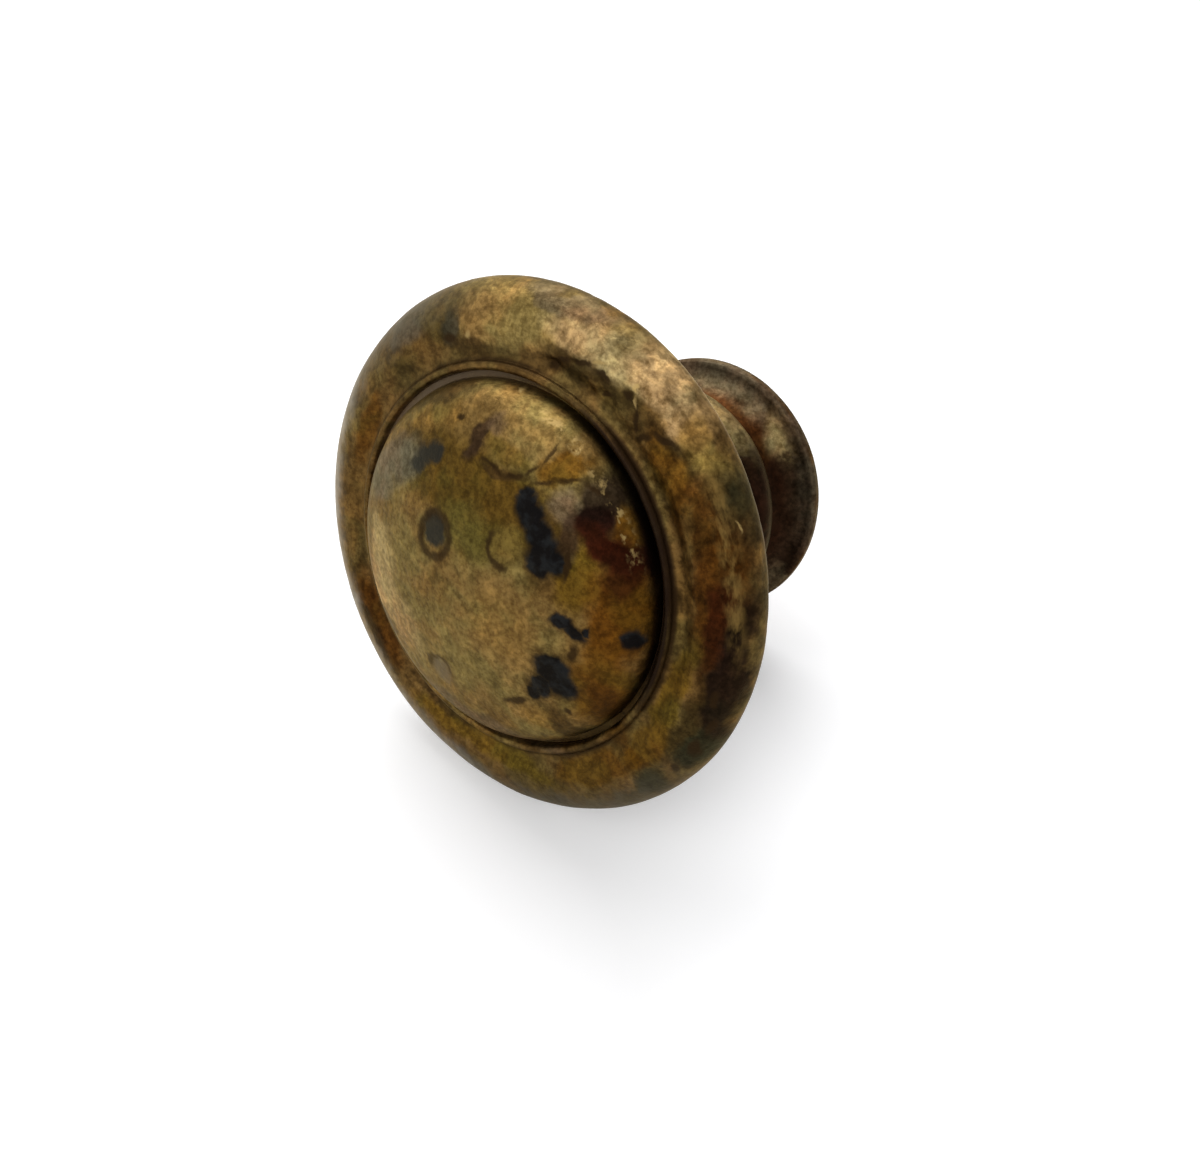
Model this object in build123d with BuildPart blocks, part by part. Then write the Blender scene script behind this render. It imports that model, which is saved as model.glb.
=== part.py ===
# Round cabinet knob, cast in brass as one piece.
#
# The axis lies along Y. The mounting face is in the plane y = 0 and the head points to -Y, as on a
# door whose outside faces -Y. Heights are measured from the mounting face towards the crown.

import os
from math import atan2, cos, degrees, radians, sin
from build123d import *

os.makedirs("parts", exist_ok=True)

# Overall sizes, in millimetres
head_diameter = 32.0
foot_diameter = 18.2
neck_diameter = 11.6
projection = 25.5          # mounting face to the crown of the dome

# Dome in the middle of the face
dome_diameter = 21.5
dome_rise = 3.9
dome_shoulder_radius = 2.4 # rolls the crown over into the upright side
dome_groove_width = 0.4    # between the dome's side and the bead round it
dome_groove_depth = 0.8    # below the top of the bead

# Bead round the dome
bead_width = 0.55
bead_height = 0.35         # above the hollow's inner edge

# Ring outside the bead: a shallow hollow that rises to a crest, then rolls over to the rim
rim_setback = 5.6          # crown to the widest line of the rim
rim_front_width = 2.75
rim_front_depth = 2.15
hollow_depth = 0.3         # lowest line of the hollow below the crest
hollow_edge_drop = 0.15    # inner edge of the hollow below the crest
rim_back_width = 0.9
rim_back_depth = 1.0

# Underside of the head
margin_width = 0.7         # plain cone inside the rim's back
margin_drop = 0.4
underside_cove_height = 8.6

# Half-round collar low on the neck, with the neck flaring out to meet it
collar_diameter = 16.5
collar_thickness = 2.4
collar_bulge = 1.1
collar_height = 5.4        # mounting face to the collar's middle
neck_flare_height = 2.2

# Foot
foot_edge_height = 0.75
foot_edge_chamfer = 0.2
foot_waist_diameter = 13.0
foot_cove_height = 2.85
seat_width = 1.55          # flat ring that bears on the door
recess_depth = 0.5
recess_draft = 0.2         # sideways lean of the recess walls
boss_diameter = 7.8        # flush with the seat, round the screw hole

# Blind hole for a No. 8-32 screw, at the size it is drilled before tapping
hole_diameter = 3.5
hole_depth = 12.0
drill_point = 1.05

# Lines of the profile that follow from the sizes
head_radius = head_diameter / 2
foot_radius = foot_diameter / 2
neck_radius = neck_diameter / 2
collar_radius = collar_diameter / 2
dome_radius = dome_diameter / 2
hole_radius = hole_diameter / 2

rim_height = projection - rim_setback
crest_height = rim_height + rim_front_depth
crest_radius = head_radius - rim_front_width
dome_base = projection - dome_rise
shoulder_centre = dome_radius - dome_shoulder_radius
crown_radius = (shoulder_centre**2 + dome_rise**2 - dome_shoulder_radius**2) / (
    2 * (dome_rise - dome_shoulder_radius)
)
crown_centre = projection - crown_radius
crown_angle = degrees(atan2(dome_base - crown_centre, shoulder_centre))
crown_edge_radius = crown_radius * cos(radians(crown_angle))
crown_edge_height = crown_centre + crown_radius * sin(radians(crown_angle))
bead_inner = dome_radius + dome_groove_width
bead_centre = bead_inner + bead_width / 2
bead_outer = bead_inner + bead_width
bead_foot = crest_height - hollow_edge_drop
bead_top = bead_foot + bead_height
groove_bottom = bead_top - dome_groove_depth
hollow_radius = bead_outer + (crest_radius - bead_outer) * 0.3
hollow_bottom = crest_height - hollow_depth

back_radius = head_radius - rim_back_width
back_height = rim_height - rim_back_depth
cove_radius = back_radius - margin_width
cove_top = back_height - margin_drop
cove_bottom = cove_top - underside_cove_height

collar_centre = collar_radius - collar_bulge
collar_top = collar_height + collar_thickness / 2
collar_bottom = collar_height - collar_thickness / 2
foot_waist_radius = foot_waist_diameter / 2
foot_lip = foot_radius - foot_edge_chamfer
foot_cove_top = foot_edge_height + foot_cove_height
recess_outer = foot_lip - seat_width
boss_radius = boss_diameter / 2

# In this plane x is the radius and y is the height above the mounting face
section = Plane(origin=(0, 0, 0), x_dir=(1, 0, 0), z_dir=(0, 0, -1))

with BuildPart() as knob:
    with BuildSketch(section):
        with BuildLine():
            # Dome, groove and bead
            CenterArc((0, crown_centre), crown_radius, crown_angle, 90 - crown_angle)
            Spline(
                (dome_radius, dome_base),
                (crown_edge_radius, crown_edge_height),
                tangents=[(0, 1), (crown_centre - crown_edge_height, crown_edge_radius)],
            )
            Line((dome_radius, dome_base), (dome_radius, groove_bottom))
            Line((dome_radius, groove_bottom), (bead_inner, groove_bottom))
            Line((bead_inner, groove_bottom), (bead_inner, bead_foot))
            EllipticalCenterArc(
                (bead_centre, bead_foot), bead_width / 2, bead_height, 0, arc_size=180
            )

            # Hollow, crest and rim
            Spline(
                (bead_outer, bead_foot),
                (hollow_radius, hollow_bottom),
                (crest_radius, crest_height),
                tangents=[(1, -0.35), (1, 0)],
            )
            EllipticalCenterArc(
                (crest_radius, rim_height), rim_front_width, rim_front_depth, 0, arc_size=90
            )
            EllipticalCenterArc(
                (back_radius, rim_height), rim_back_width, rim_back_depth, 270, arc_size=90
            )

            # Underside, sweeping down into the neck
            Line((back_radius, back_height), (cove_radius, cove_top))
            EllipticalCenterArc(
                (cove_radius, cove_bottom),
                cove_radius - neck_radius,
                underside_cove_height,
                90,
                arc_size=90,
            )
            Line((neck_radius, cove_bottom), (neck_radius, collar_top + neck_flare_height))

            # Collar
            EllipticalCenterArc(
                (collar_centre, collar_top + neck_flare_height),
                collar_centre - neck_radius,
                neck_flare_height,
                180,
                arc_size=90,
            )
            EllipticalCenterArc(
                (collar_centre, collar_height), collar_bulge, collar_thickness / 2, -90, arc_size=180
            )
            Line((collar_centre, collar_bottom), (foot_waist_radius, collar_bottom))
            Line((foot_waist_radius, collar_bottom), (foot_waist_radius, foot_cove_top))

            # Foot, with its recess and the boss round the hole
            EllipticalCenterArc(
                (foot_lip, foot_cove_top),
                foot_lip - foot_waist_radius,
                foot_cove_height,
                180,
                arc_size=90,
            )
            Polyline(
                (foot_lip, foot_edge_height),
                (foot_radius, foot_edge_height - foot_edge_chamfer),
                (foot_radius, foot_edge_chamfer),
                (foot_lip, 0),
                (recess_outer, 0),
                (recess_outer - recess_draft, recess_depth),
                (boss_radius + recess_draft, recess_depth),
                (boss_radius, 0),
                (hole_radius, 0),
                (hole_radius, hole_depth),
                (0, hole_depth + drill_point),
                (0, projection),
            )
        make_face()
    revolve(axis=Axis.Y)

knob.part.label = "knob"
export_step(knob.part, "parts/knob.step")

box = knob.part.bounding_box()
print("solids", len(knob.part.solids()), "valid", knob.part.is_valid)
print("box", [round(v, 3) for v in (*box.min, *box.max)])
print("volume mm3", round(knob.part.volume, 1))
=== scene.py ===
# Antique brass cabinet knob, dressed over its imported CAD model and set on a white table.
import math
from types import SimpleNamespace
import bpy
import numpy as np
from mathutils import Matrix, Vector


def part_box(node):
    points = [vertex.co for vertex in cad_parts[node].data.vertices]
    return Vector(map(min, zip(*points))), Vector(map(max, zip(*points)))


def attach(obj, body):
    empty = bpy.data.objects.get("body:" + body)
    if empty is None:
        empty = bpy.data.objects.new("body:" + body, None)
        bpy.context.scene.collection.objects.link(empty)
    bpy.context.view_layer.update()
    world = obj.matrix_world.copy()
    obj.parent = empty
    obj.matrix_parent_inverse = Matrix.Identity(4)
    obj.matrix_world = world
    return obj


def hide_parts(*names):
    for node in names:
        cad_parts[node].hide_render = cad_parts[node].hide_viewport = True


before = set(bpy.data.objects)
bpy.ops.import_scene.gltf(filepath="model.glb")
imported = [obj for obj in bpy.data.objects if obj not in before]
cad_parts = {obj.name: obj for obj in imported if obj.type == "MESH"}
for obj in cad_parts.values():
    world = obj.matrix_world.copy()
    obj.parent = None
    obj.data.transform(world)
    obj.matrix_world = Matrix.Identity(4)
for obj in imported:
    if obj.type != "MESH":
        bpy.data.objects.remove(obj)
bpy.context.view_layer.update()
millimetre = 0.001
knobLow, knobHigh = [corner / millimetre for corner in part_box("knob")]
print("frame loaded, knob from", list(knobLow), "to", list(knobHigh))

# Sizes in millimetres, as in the CAD model. Heights are measured from the mounting face, which lies
# in y = 0, so a height h is at y = -h.
knobSizes = {
    "headRadius": knobHigh.x,
    "projection": -knobLow.y,
    "footRadius": 9.1,
    "neckRadius": 5.8,
    "domeRadius": 10.75,
    "domeRise": 3.9,
    "domeShoulder": 2.4,
    "grooveWidth": 0.4,
    "grooveDepth": 0.8,
    "beadWidth": 0.55,
    "beadHeight": 0.35,
    "rimSetback": 5.6,
    "rimFrontWidth": 2.75,
    "rimFrontDepth": 2.15,
    "hollowDepth": 0.3,
    "hollowEdgeDrop": 0.15,
    "rimBackWidth": 0.9,
    "rimBackDepth": 1.0,
    "marginWidth": 0.7,
    "marginDrop": 0.4,
    "underCove": 8.6,
    "collarRadius": 8.25,
    "collarThickness": 2.4,
    "collarBulge": 1.1,
    "collarHeight": 5.4,
    "neckFlare": 2.2,
    "footEdgeHeight": 0.75,
    "footEdgeChamfer": 0.2,
    "footWaistRadius": 6.5,
    "footCove": 2.85,
    "seatWidth": 1.55,
    "recessDepth": 0.5,
    "recessDraft": 0.2,
    "bossRadius": 3.9,
}

# Blind hole tapped for a No. 8-32 screw
threadSizes = {
    "minorRadius": 1.75,
    "majorRadius": 2.083,
    "pitch": 0.794,
    "depth": 12.0,
    "drillPoint": 1.05,
    "mouthRadius": 2.15,      # countersunk lead-in
    "mouthDepth": 0.35,
    "mouthMargin": 0.7,       # last row of the mounting face outside the lead-in
    "runOut": 2.4,            # where the tap's taper lets the thread fade
    "flankSlope": 1.5,        # how fast a tooth rises, and how much of its root is cut off flat
    "rootFlat": 0.2,
}

meshSteps = {
    "around": 360,            # columns round the knob
    "boreAround": 60,         # columns in the hole, a sixth of those outside
    "rowsPerThread": 8,
    "straight": 3,            # rows along a straight part of the section, and along each curve:
    "dome": 64,
    "shoulder": 22,
    "bead": 9,
    "hollowInside": 6,
    "hollowOutside": 11,
    "rimFront": 26,
    "rimBack": 10,
    "underCove": 26,
    "neckFlare": 10,
    "collar": 18,
    "footCove": 14,
    "recess": 4,
}


# Points along an ellipse arc: centre + (a cos t, b sin t) for t from the first angle to the last.
def arc(centre, across, up, first, last, steps):
    turn = np.radians(np.linspace(first, last, steps))
    return np.stack([centre[0] + across * np.cos(turn), centre[1] + up * np.sin(turn)], 1)


# Points along a straight run, with one close to each end, so that the shading keeps corners crisp.
def run(start, end, steps, tight=0.06):
    start, end = np.array(start, float), np.array(end, float)
    close = min(0.3, tight / np.linalg.norm(end - start))
    along = np.concatenate([[0, close], np.linspace(close, 1 - close, steps)[1:-1], [1 - close, 1]])
    return start + (end - start) * along[:, None]


# Points along a cubic from start to end with the given end slopes (Hermite form).
def sweep(start, end, startSlope, endSlope, steps):
    t = np.linspace(0, 1, steps)[:, None]
    start, end = np.array(start, float), np.array(end, float)
    startSlope, endSlope = np.array(startSlope, float), np.array(endSlope, float)
    return ((2 * t**3 - 3 * t**2 + 1) * start + (t**3 - 2 * t**2 + t) * startSlope
            + (3 * t**2 - 2 * t**3) * end + (t**3 - t**2) * endSlope)


# The knob's half section as (radius, height) rows, from the crown out to the rim, down the
# underside, neck, collar and foot, and in to the boss round the hole. Beside the rows it gives how
# much of the casting's unevenness each takes: 1 on the outside, 0 on the mounting face.
def knobProfile(s):
    rimHeight = s["projection"] - s["rimSetback"]
    crestHeight = rimHeight + s["rimFrontDepth"]
    crestRadius = s["headRadius"] - s["rimFrontWidth"]
    domeBase = s["projection"] - s["domeRise"]
    shoulderCentre = s["domeRadius"] - s["domeShoulder"]
    crownRadius = ((shoulderCentre**2 + s["domeRise"]**2 - s["domeShoulder"]**2)
                   / (2 * (s["domeRise"] - s["domeShoulder"])))
    crownCentre = s["projection"] - crownRadius
    shoulderTurn = math.degrees(math.atan2(domeBase - crownCentre, shoulderCentre))
    beadInner = s["domeRadius"] + s["grooveWidth"]
    beadOuter = beadInner + s["beadWidth"]
    beadFoot = crestHeight - s["hollowEdgeDrop"]
    grooveBottom = beadFoot + s["beadHeight"] - s["grooveDepth"]
    hollowRadius = beadOuter + (crestRadius - beadOuter) * 0.3
    hollowHeight = crestHeight - s["hollowDepth"]
    backRadius = s["headRadius"] - s["rimBackWidth"]
    backHeight = rimHeight - s["rimBackDepth"]
    coveRadius = backRadius - s["marginWidth"]
    coveTop = backHeight - s["marginDrop"]
    coveBottom = coveTop - s["underCove"]
    collarCentre = s["collarRadius"] - s["collarBulge"]
    collarTop = s["collarHeight"] + s["collarThickness"] / 2
    collarBottom = s["collarHeight"] - s["collarThickness"] / 2
    footLip = s["footRadius"] - s["footEdgeChamfer"]
    footCoveTop = s["footEdgeHeight"] + s["footCove"]
    recessOuter = footLip - s["seatWidth"]
    hollow = (hollowRadius, hollowHeight)
    steps = meshSteps
    straight = steps["straight"]
    outside = [
        arc((0, crownCentre), crownRadius, crownRadius, 90, shoulderTurn, steps["dome"])[1:],
        arc((shoulderCentre, domeBase), s["domeShoulder"], s["domeShoulder"],
            shoulderTurn, 0, steps["shoulder"]),
        run((s["domeRadius"], domeBase), (s["domeRadius"], grooveBottom), straight),
        run((s["domeRadius"], grooveBottom), (beadInner, grooveBottom), straight),
        run((beadInner, grooveBottom), (beadInner, beadFoot), straight),
        arc((beadInner + s["beadWidth"] / 2, beadFoot), s["beadWidth"] / 2, s["beadHeight"],
            180, 0, steps["bead"]),
        sweep((beadOuter, beadFoot), hollow, (0.5, -0.2), (0.6, 0), steps["hollowInside"]),
        sweep(hollow, (crestRadius, crestHeight), (1.1, 0), (1.1, 0), steps["hollowOutside"]),
        arc((crestRadius, rimHeight), s["rimFrontWidth"], s["rimFrontDepth"],
            90, 0, steps["rimFront"]),
        arc((backRadius, rimHeight), s["rimBackWidth"], s["rimBackDepth"],
            0, -90, steps["rimBack"]),
        run((backRadius, backHeight), (coveRadius, coveTop), straight),
        arc((coveRadius, coveBottom), coveRadius - s["neckRadius"], s["underCove"],
            90, 180, steps["underCove"]),
        run((s["neckRadius"], coveBottom), (s["neckRadius"], collarTop + s["neckFlare"]), straight),
        arc((collarCentre, collarTop + s["neckFlare"]), collarCentre - s["neckRadius"],
            s["neckFlare"], 180, 270, steps["neckFlare"]),
        arc((collarCentre, s["collarHeight"]), s["collarBulge"], s["collarThickness"] / 2,
            90, -90, steps["collar"]),
        run((collarCentre, collarBottom), (s["footWaistRadius"], collarBottom), straight),
        run((s["footWaistRadius"], collarBottom), (s["footWaistRadius"], footCoveTop), straight),
        arc((footLip, footCoveTop), footLip - s["footWaistRadius"], s["footCove"],
            180, 270, steps["footCove"]),
        run((footLip, s["footEdgeHeight"]),
            (s["footRadius"], s["footEdgeHeight"] - s["footEdgeChamfer"]), 2),
        run((s["footRadius"], s["footEdgeHeight"] - s["footEdgeChamfer"]),
            (s["footRadius"], s["footEdgeChamfer"]), straight),
    ]
    mounting = [
        run((footLip, 0), (recessOuter, 0), straight),
        run((recessOuter - s["recessDraft"], s["recessDepth"]),
            (s["bossRadius"] + s["recessDraft"], s["recessDepth"]), steps["recess"]),
        run((s["bossRadius"], 0),
            (threadSizes["mouthRadius"] + threadSizes["mouthMargin"], 0), straight),
    ]
    outside, mounting = np.concatenate(outside), np.concatenate(mounting)
    rows = np.concatenate([outside, mounting])
    uneven = np.concatenate([np.ones(len(outside)), np.zeros(len(mounting))])
    new = np.ones(len(rows), bool)
    new[1:] = np.linalg.norm(np.diff(rows, axis=0), axis=1) > 1e-4
    return rows[new], uneven[new]


# Smooth random heights between -1 and 1: values on a cubic lattice of the given size, blended
# between its corners with 3t^2 - 2t^3.
def unevenness(place, size, seed):
    cells = 32
    lattice = np.random.default_rng(seed).uniform(-1, 1, (cells, cells, cells))
    cell = place / size
    low = np.floor(cell).astype(int)
    t = cell - low
    t = t * t * (3 - 2 * t)
    total = 0
    for corner in np.ndindex(2, 2, 2):
        weight = np.prod(np.where(np.array(corner) == 1, t, 1 - t), axis=-1)
        at = (low + corner) % cells
        total = total + weight * lattice[at[..., 0], at[..., 1], at[..., 2]]
    return total


# Quads between neighbouring rows of a closed grid, as rows of four vertex numbers.
def gridFaces(rows, around, first=0):
    row = np.arange(rows - 1)[:, None] * around + first
    column = np.arange(around)[None, :]
    after = (column + 1) % around
    return np.stack([row + column, row + around + column, row + around + after, row + after],
                    -1).reshape(-1, 4)


# Turns the half section round the y axis: x = r cos a, y = -h, z = r sin a, where r and h are moved
# along the section's own normal by the casting's unevenness.
def knobSurface():
    rows, uneven = knobProfile(knobSizes)
    around = meshSteps["around"]
    angle = np.arange(around) * 2 * math.pi / around
    along = np.gradient(rows, axis=0)
    along /= np.linalg.norm(along, axis=1)[:, None]
    normal = np.stack([-along[:, 1], along[:, 0]], 1)

    def turned(radius, height):
        return np.stack([radius * np.cos(angle), -height, radius * np.sin(angle)], -1)

    height = rows[:, 1:] + grooveDirt(rows, angle)
    flat = turned(rows[:, :1] + 0 * angle, height)
    lift = (castRelief(flat) + wear(flat)) * uneven[:, None]
    grid = turned(rows[:, :1] + normal[:, :1] * lift, height + normal[:, 1:] * lift)
    crown = np.array([[0, -knobSizes["projection"], 0]])
    return grid, crown


packedDirt = {
    "share": 0.8,             # how much of the groove's depth it fills at most
    "cleanSide": 12,          # degrees from x towards z to the side where the groove is clean
    "start": 0.3,             # the cosine from that side at which the dirt starts, and the fall
    "fall": 0.8,              # of it over which the share grows to its most
    "overlap": 0.04,          # millimetres of the dome's side that it takes in
}


# Packed dirt makes the groove round the dome shallower on the left: heights in it draw up towards
# the ring's surface by a share that rises as cos(angle - clean side) falls.
def grooveDirt(rows, angle):
    s, dirt = knobSizes, packedDirt
    radius, height = rows[:, 0], rows[:, 1]
    top = s["projection"] - s["rimSetback"] + s["rimFrontDepth"] - s["hollowEdgeDrop"]
    inner, outer = s["domeRadius"] - dirt["overlap"], s["domeRadius"] + s["grooveWidth"] + 0.001
    inGroove = (radius > inner) & (radius < outer) & (height > top - s["grooveDepth"])
    sunk = np.where(inGroove, np.clip(top - height, 0, None), 0)
    side = np.cos(angle - math.radians(dirt["cleanSide"]))
    share = dirt["share"] * np.clip((dirt["start"] - side) / dirt["fall"], 0, 1)
    return sunk[:, None] * share


# The casting's unevenness: height and size of each noise in millimetres, and its seed
castNoises = [(0.025, 5.0, 3), (0.012, 1.9, 4), (0.006, 0.8, 5)]


# The noises of the casting, each times its height, added up.
def castRelief(place):
    return sum(height * unevenness(place, size, seed) for height, size, seed in castNoises)


# Marks that stand out from the face or lie in it: height, centre x and z, width, height, turn,
# in millimetres as seen from the front
reliefMarks = [
    (-0.09, 3.2, 12.5, 6.2, 1.5, -8), (-0.08, 7.9, 11.1, 3.2, 1.1, -14),
    (0.07, 0.6, 13.1, 1.6, 0.5, 28), (0.08, 2.6, 13.6, 1.9, 0.45, 6),
    (0.07, 4.6, 13.35, 1.8, 0.4, -10), (-0.10, 0.5, 12.5, 0.9, 0.6, 45),
    (-0.09, 5.5, 12.7, 0.9, 0.7, 0), (-0.08, 6.3, 11.7, 0.6, 1.4, 8),
    (0.08, 6.1, 12.9, 0.5, 1.0, 20), (-0.06, 4.3, 12.2, 1.2, 0.5, 10),
    (0.06, 3.4, 12.3, 0.7, 0.5, 0), (0.06, 8.6, 11.8, 1.6, 0.4, -20),
    (-0.05, 9.9, 10.5, 0.9, 1.6, 30), (-0.04, 12.5, 8.9, 0.7, 2.6, 34),
    (-0.03, 14.3, 4.6, 0.7, 2.8, 16), (-0.04, 14.7, -1.2, 0.6, 1.6, -4),
    (-0.04, 14.3, -4.4, 0.8, 1.8, -16), (-0.05, 13.2, -6.9, 0.9, 1.5, -28),
    (0.03, 13.6, 2.0, 0.6, 2.2, 6), (-0.05, -6.8, 11.7, 1.3, 1.9, 0),
    (0.05, 2.9, 5.7, 1.7, 1.7, 0), (0.06, 4.2, 4.4, 2.0, 2.6, 28), (0.05, 5.0, 3.5, 1.6, 1.4, 0),
    (0.05, 6.9, 0.6, 2.2, 0.9, 0), (0.06, 6.7, -3.0, 2.4, 2.6, 0),
    (-0.04, -2.7, 1.75, 2.4, 2.7, 0), (-0.04, -1.15, -7.05, 1.9, 1.9, 0),
    (0.05, 0.9, 8.6, 4.2, 3.0, 0), (0.04, 4.4, 8.7, 2.6, 1.3, 30), (-0.05, 0.4, 6.8, 2.8, 0.5, 4),
    (-0.05, 6.4, 6.5, 1.6, 2.2, 0), (-0.04, 7.9, 5.2, 3.4, 1.4, -20),
    (-0.10, 9.95, -5.0, 0.6, 1.0, -40), (-0.05, -1.5, 8.0, 0.9, 2.4, -20),
]


wearSizes = {
    "edgeSize": 0.9,          # of the noise that makes the marks' edges ragged
    "edgeReach": 0.35,
    "edgeOutside": 1.15,      # a mark starts this many half widths from its centre, and is full
    "edgeWidth": 0.3,         # this many further in
    "frontFrom": -19.0,       # y, of the head's front
    "pitSize": 0.62,
    "pitDepth": 0.08,
    "pitLevel": 0.15,         # the noise is cut where it is above this
    "pitsInside": 12,         # radius at which the pits start
    "pitsFrom": 8.5,          # distance towards the upper right at which they start, and the way
    "pitsGrow": 3,            # over which they grow
}


# Each mark rises or falls with a flat middle and a steep edge: its height times 3t^2 - 2t^3, where
# t runs from 0 on the edge of a ragged ellipse to 1 further in. The upper right of the ring is
# pitted as well: the noise's peaks are cut into it.
def wear(place):
    w = wearSizes
    edges = np.stack([unevenness(place, w["edgeSize"], seed) for seed in (11, 12, 13)], -1)
    ragged = place + w["edgeReach"] * edges
    front = np.clip(w["frontFrom"] - place[..., 1], 0, 1)
    lift = 0
    for rise, x, z, width, height, turn in reliefMarks:
        c, s = math.cos(math.radians(turn)), math.sin(math.radians(turn))
        u = ((ragged[..., 0] - x) * c + (ragged[..., 2] - z) * s) * 2 / width
        v = ((ragged[..., 2] - z) * c - (ragged[..., 0] - x) * s) * 2 / height
        t = np.clip((w["edgeOutside"] - np.hypot(u, v)) / w["edgeWidth"], 0, 1)
        lift = lift + rise * t * t * (3 - 2 * t)
    radius = np.hypot(place[..., 0], place[..., 2])
    upperRight = (place[..., 0] + 1.1 * place[..., 2]) / 1.49
    pitted = np.clip((upperRight - w["pitsFrom"]) / w["pitsGrow"], 0, 1)
    pitted = pitted * np.clip(radius - w["pitsInside"], 0, 1)
    pits = np.clip(unevenness(place, w["pitSize"], 14) - w["pitLevel"], 0, 0.5)
    return front * (lift - w["pitDepth"] * pits * pitted)


# The tapped hole: the wall's radius is the minor radius plus the thread's depth times a tooth whose
# phase is height / pitch - angle / 360, so that it winds up the hole.
def threadSurface():
    t = threadSizes
    around = meshSteps["boreAround"]
    angle = np.arange(around) * 2 * math.pi / around
    start = t["mouthDepth"]
    steps = int((t["depth"] - start) / t["pitch"] * meshSteps["rowsPerThread"])
    height = np.concatenate([[0.0], np.linspace(start, t["depth"], steps)])[:, None]
    phase = (height / t["pitch"] - angle / (2 * math.pi)) % 1
    tooth = np.clip(t["flankSlope"] * (1 - np.abs(2 * phase - 1)) - t["rootFlat"], 0, 1)
    fade = np.clip((t["depth"] - height) / t["runOut"], 0, 1)
    radius = t["minorRadius"] + (t["majorRadius"] - t["minorRadius"]) * tooth * fade
    radius[0] = t["mouthRadius"]
    height = height + 0 * angle
    grid = np.stack([radius * np.cos(angle), -height, radius * np.sin(angle)], -1)
    return grid, np.array([[0, -t["depth"] - t["drillPoint"], 0]])


# One closed mesh: the outside grid with a fan of triangles at the crown, the bore grid with a fan
# at the drill point, and between them a ring of triangles, six at the wide side to one at the
# narrow.
def knobMesh():
    body, crown = knobSurface()
    bore, point = threadSurface()
    around, boreAround = meshSteps["around"], meshSteps["boreAround"]
    ratio = around // boreAround
    bodyCount, boreCount = body.shape[0] * around, bore.shape[0] * boreAround
    vertices = np.concatenate([body.reshape(-1, 3), bore.reshape(-1, 3), crown, point]) * millimetre
    crownNumber, pointNumber = bodyCount + boreCount, bodyCount + boreCount + 1
    quads = np.concatenate([gridFaces(body.shape[0], around),
                            gridFaces(bore.shape[0], boreAround, bodyCount)])
    column = np.arange(around)
    nextColumn = (column + 1) % around
    boreColumn = np.arange(boreAround)
    nextBore = (boreColumn + 1) % boreAround
    lastRow = bodyCount - around
    lastBore = bodyCount + boreCount - boreAround
    fans = np.concatenate([
        np.stack([np.full(around, crownNumber), column, nextColumn], 1),
        np.stack([lastRow + column, bodyCount + column // ratio, lastRow + nextColumn], 1),
        np.stack([bodyCount + boreColumn, bodyCount + nextBore,
                  lastRow + (nextBore * ratio) % around], 1),
        np.stack([lastBore + boreColumn, np.full(boreAround, pointNumber), lastBore + nextBore], 1),
    ])
    mesh = bpy.data.meshes.new("antiqueKnob")
    mesh.from_pydata(vertices.tolist(), [], quads.tolist() + fans.tolist())
    mesh.polygons.foreach_set("use_smooth", np.ones(len(mesh.polygons), bool))
    mesh.update()
    piece = bpy.data.objects.new("antiqueKnob", mesh)
    bpy.context.scene.collection.objects.link(piece)
    return piece


# A socket that takes part in sums: each operator adds its own Math node.
class Signal:
    def __init__(self, bench, socket):
        self.bench, self.socket = bench, socket

    def math(self, operation, *others):
        return self.bench.add("ShaderNodeMath", {"operation": operation},
                              dict(enumerate((self,) + others)))

    def __add__(self, other):
        return self.math("ADD", other)

    def __radd__(self, other):
        return self.bench.add("ShaderNodeMath", {"operation": "ADD"}, {0: other, 1: self})

    def __sub__(self, other):
        return self.math("SUBTRACT", other)

    def __rsub__(self, other):
        return self.bench.add("ShaderNodeMath", {"operation": "SUBTRACT"}, {0: other, 1: self})

    def __mul__(self, other):
        return self.math("MULTIPLY", other)

    def __rmul__(self, other):
        return self.math("MULTIPLY", other)

    def __truediv__(self, other):
        return self.math("DIVIDE", other)

    def __rtruediv__(self, other):
        return self.bench.add("ShaderNodeMath", {"operation": "DIVIDE"}, {0: other, 1: self})

    def least(self, other):
        return self.math("MINIMUM", other)

    def most(self, other):
        return self.math("MAXIMUM", other)

    # 0 at low and below, 1 at high and above, eased between them; low may be above high
    def step(self, low, high):
        if low > high:
            return 1 - self.step(high, low)
        return self.bench.add("ShaderNodeMapRange", {"interpolation_type": "SMOOTHSTEP"},
                              {"Value": self, "From Min": low, "From Max": high})


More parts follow.
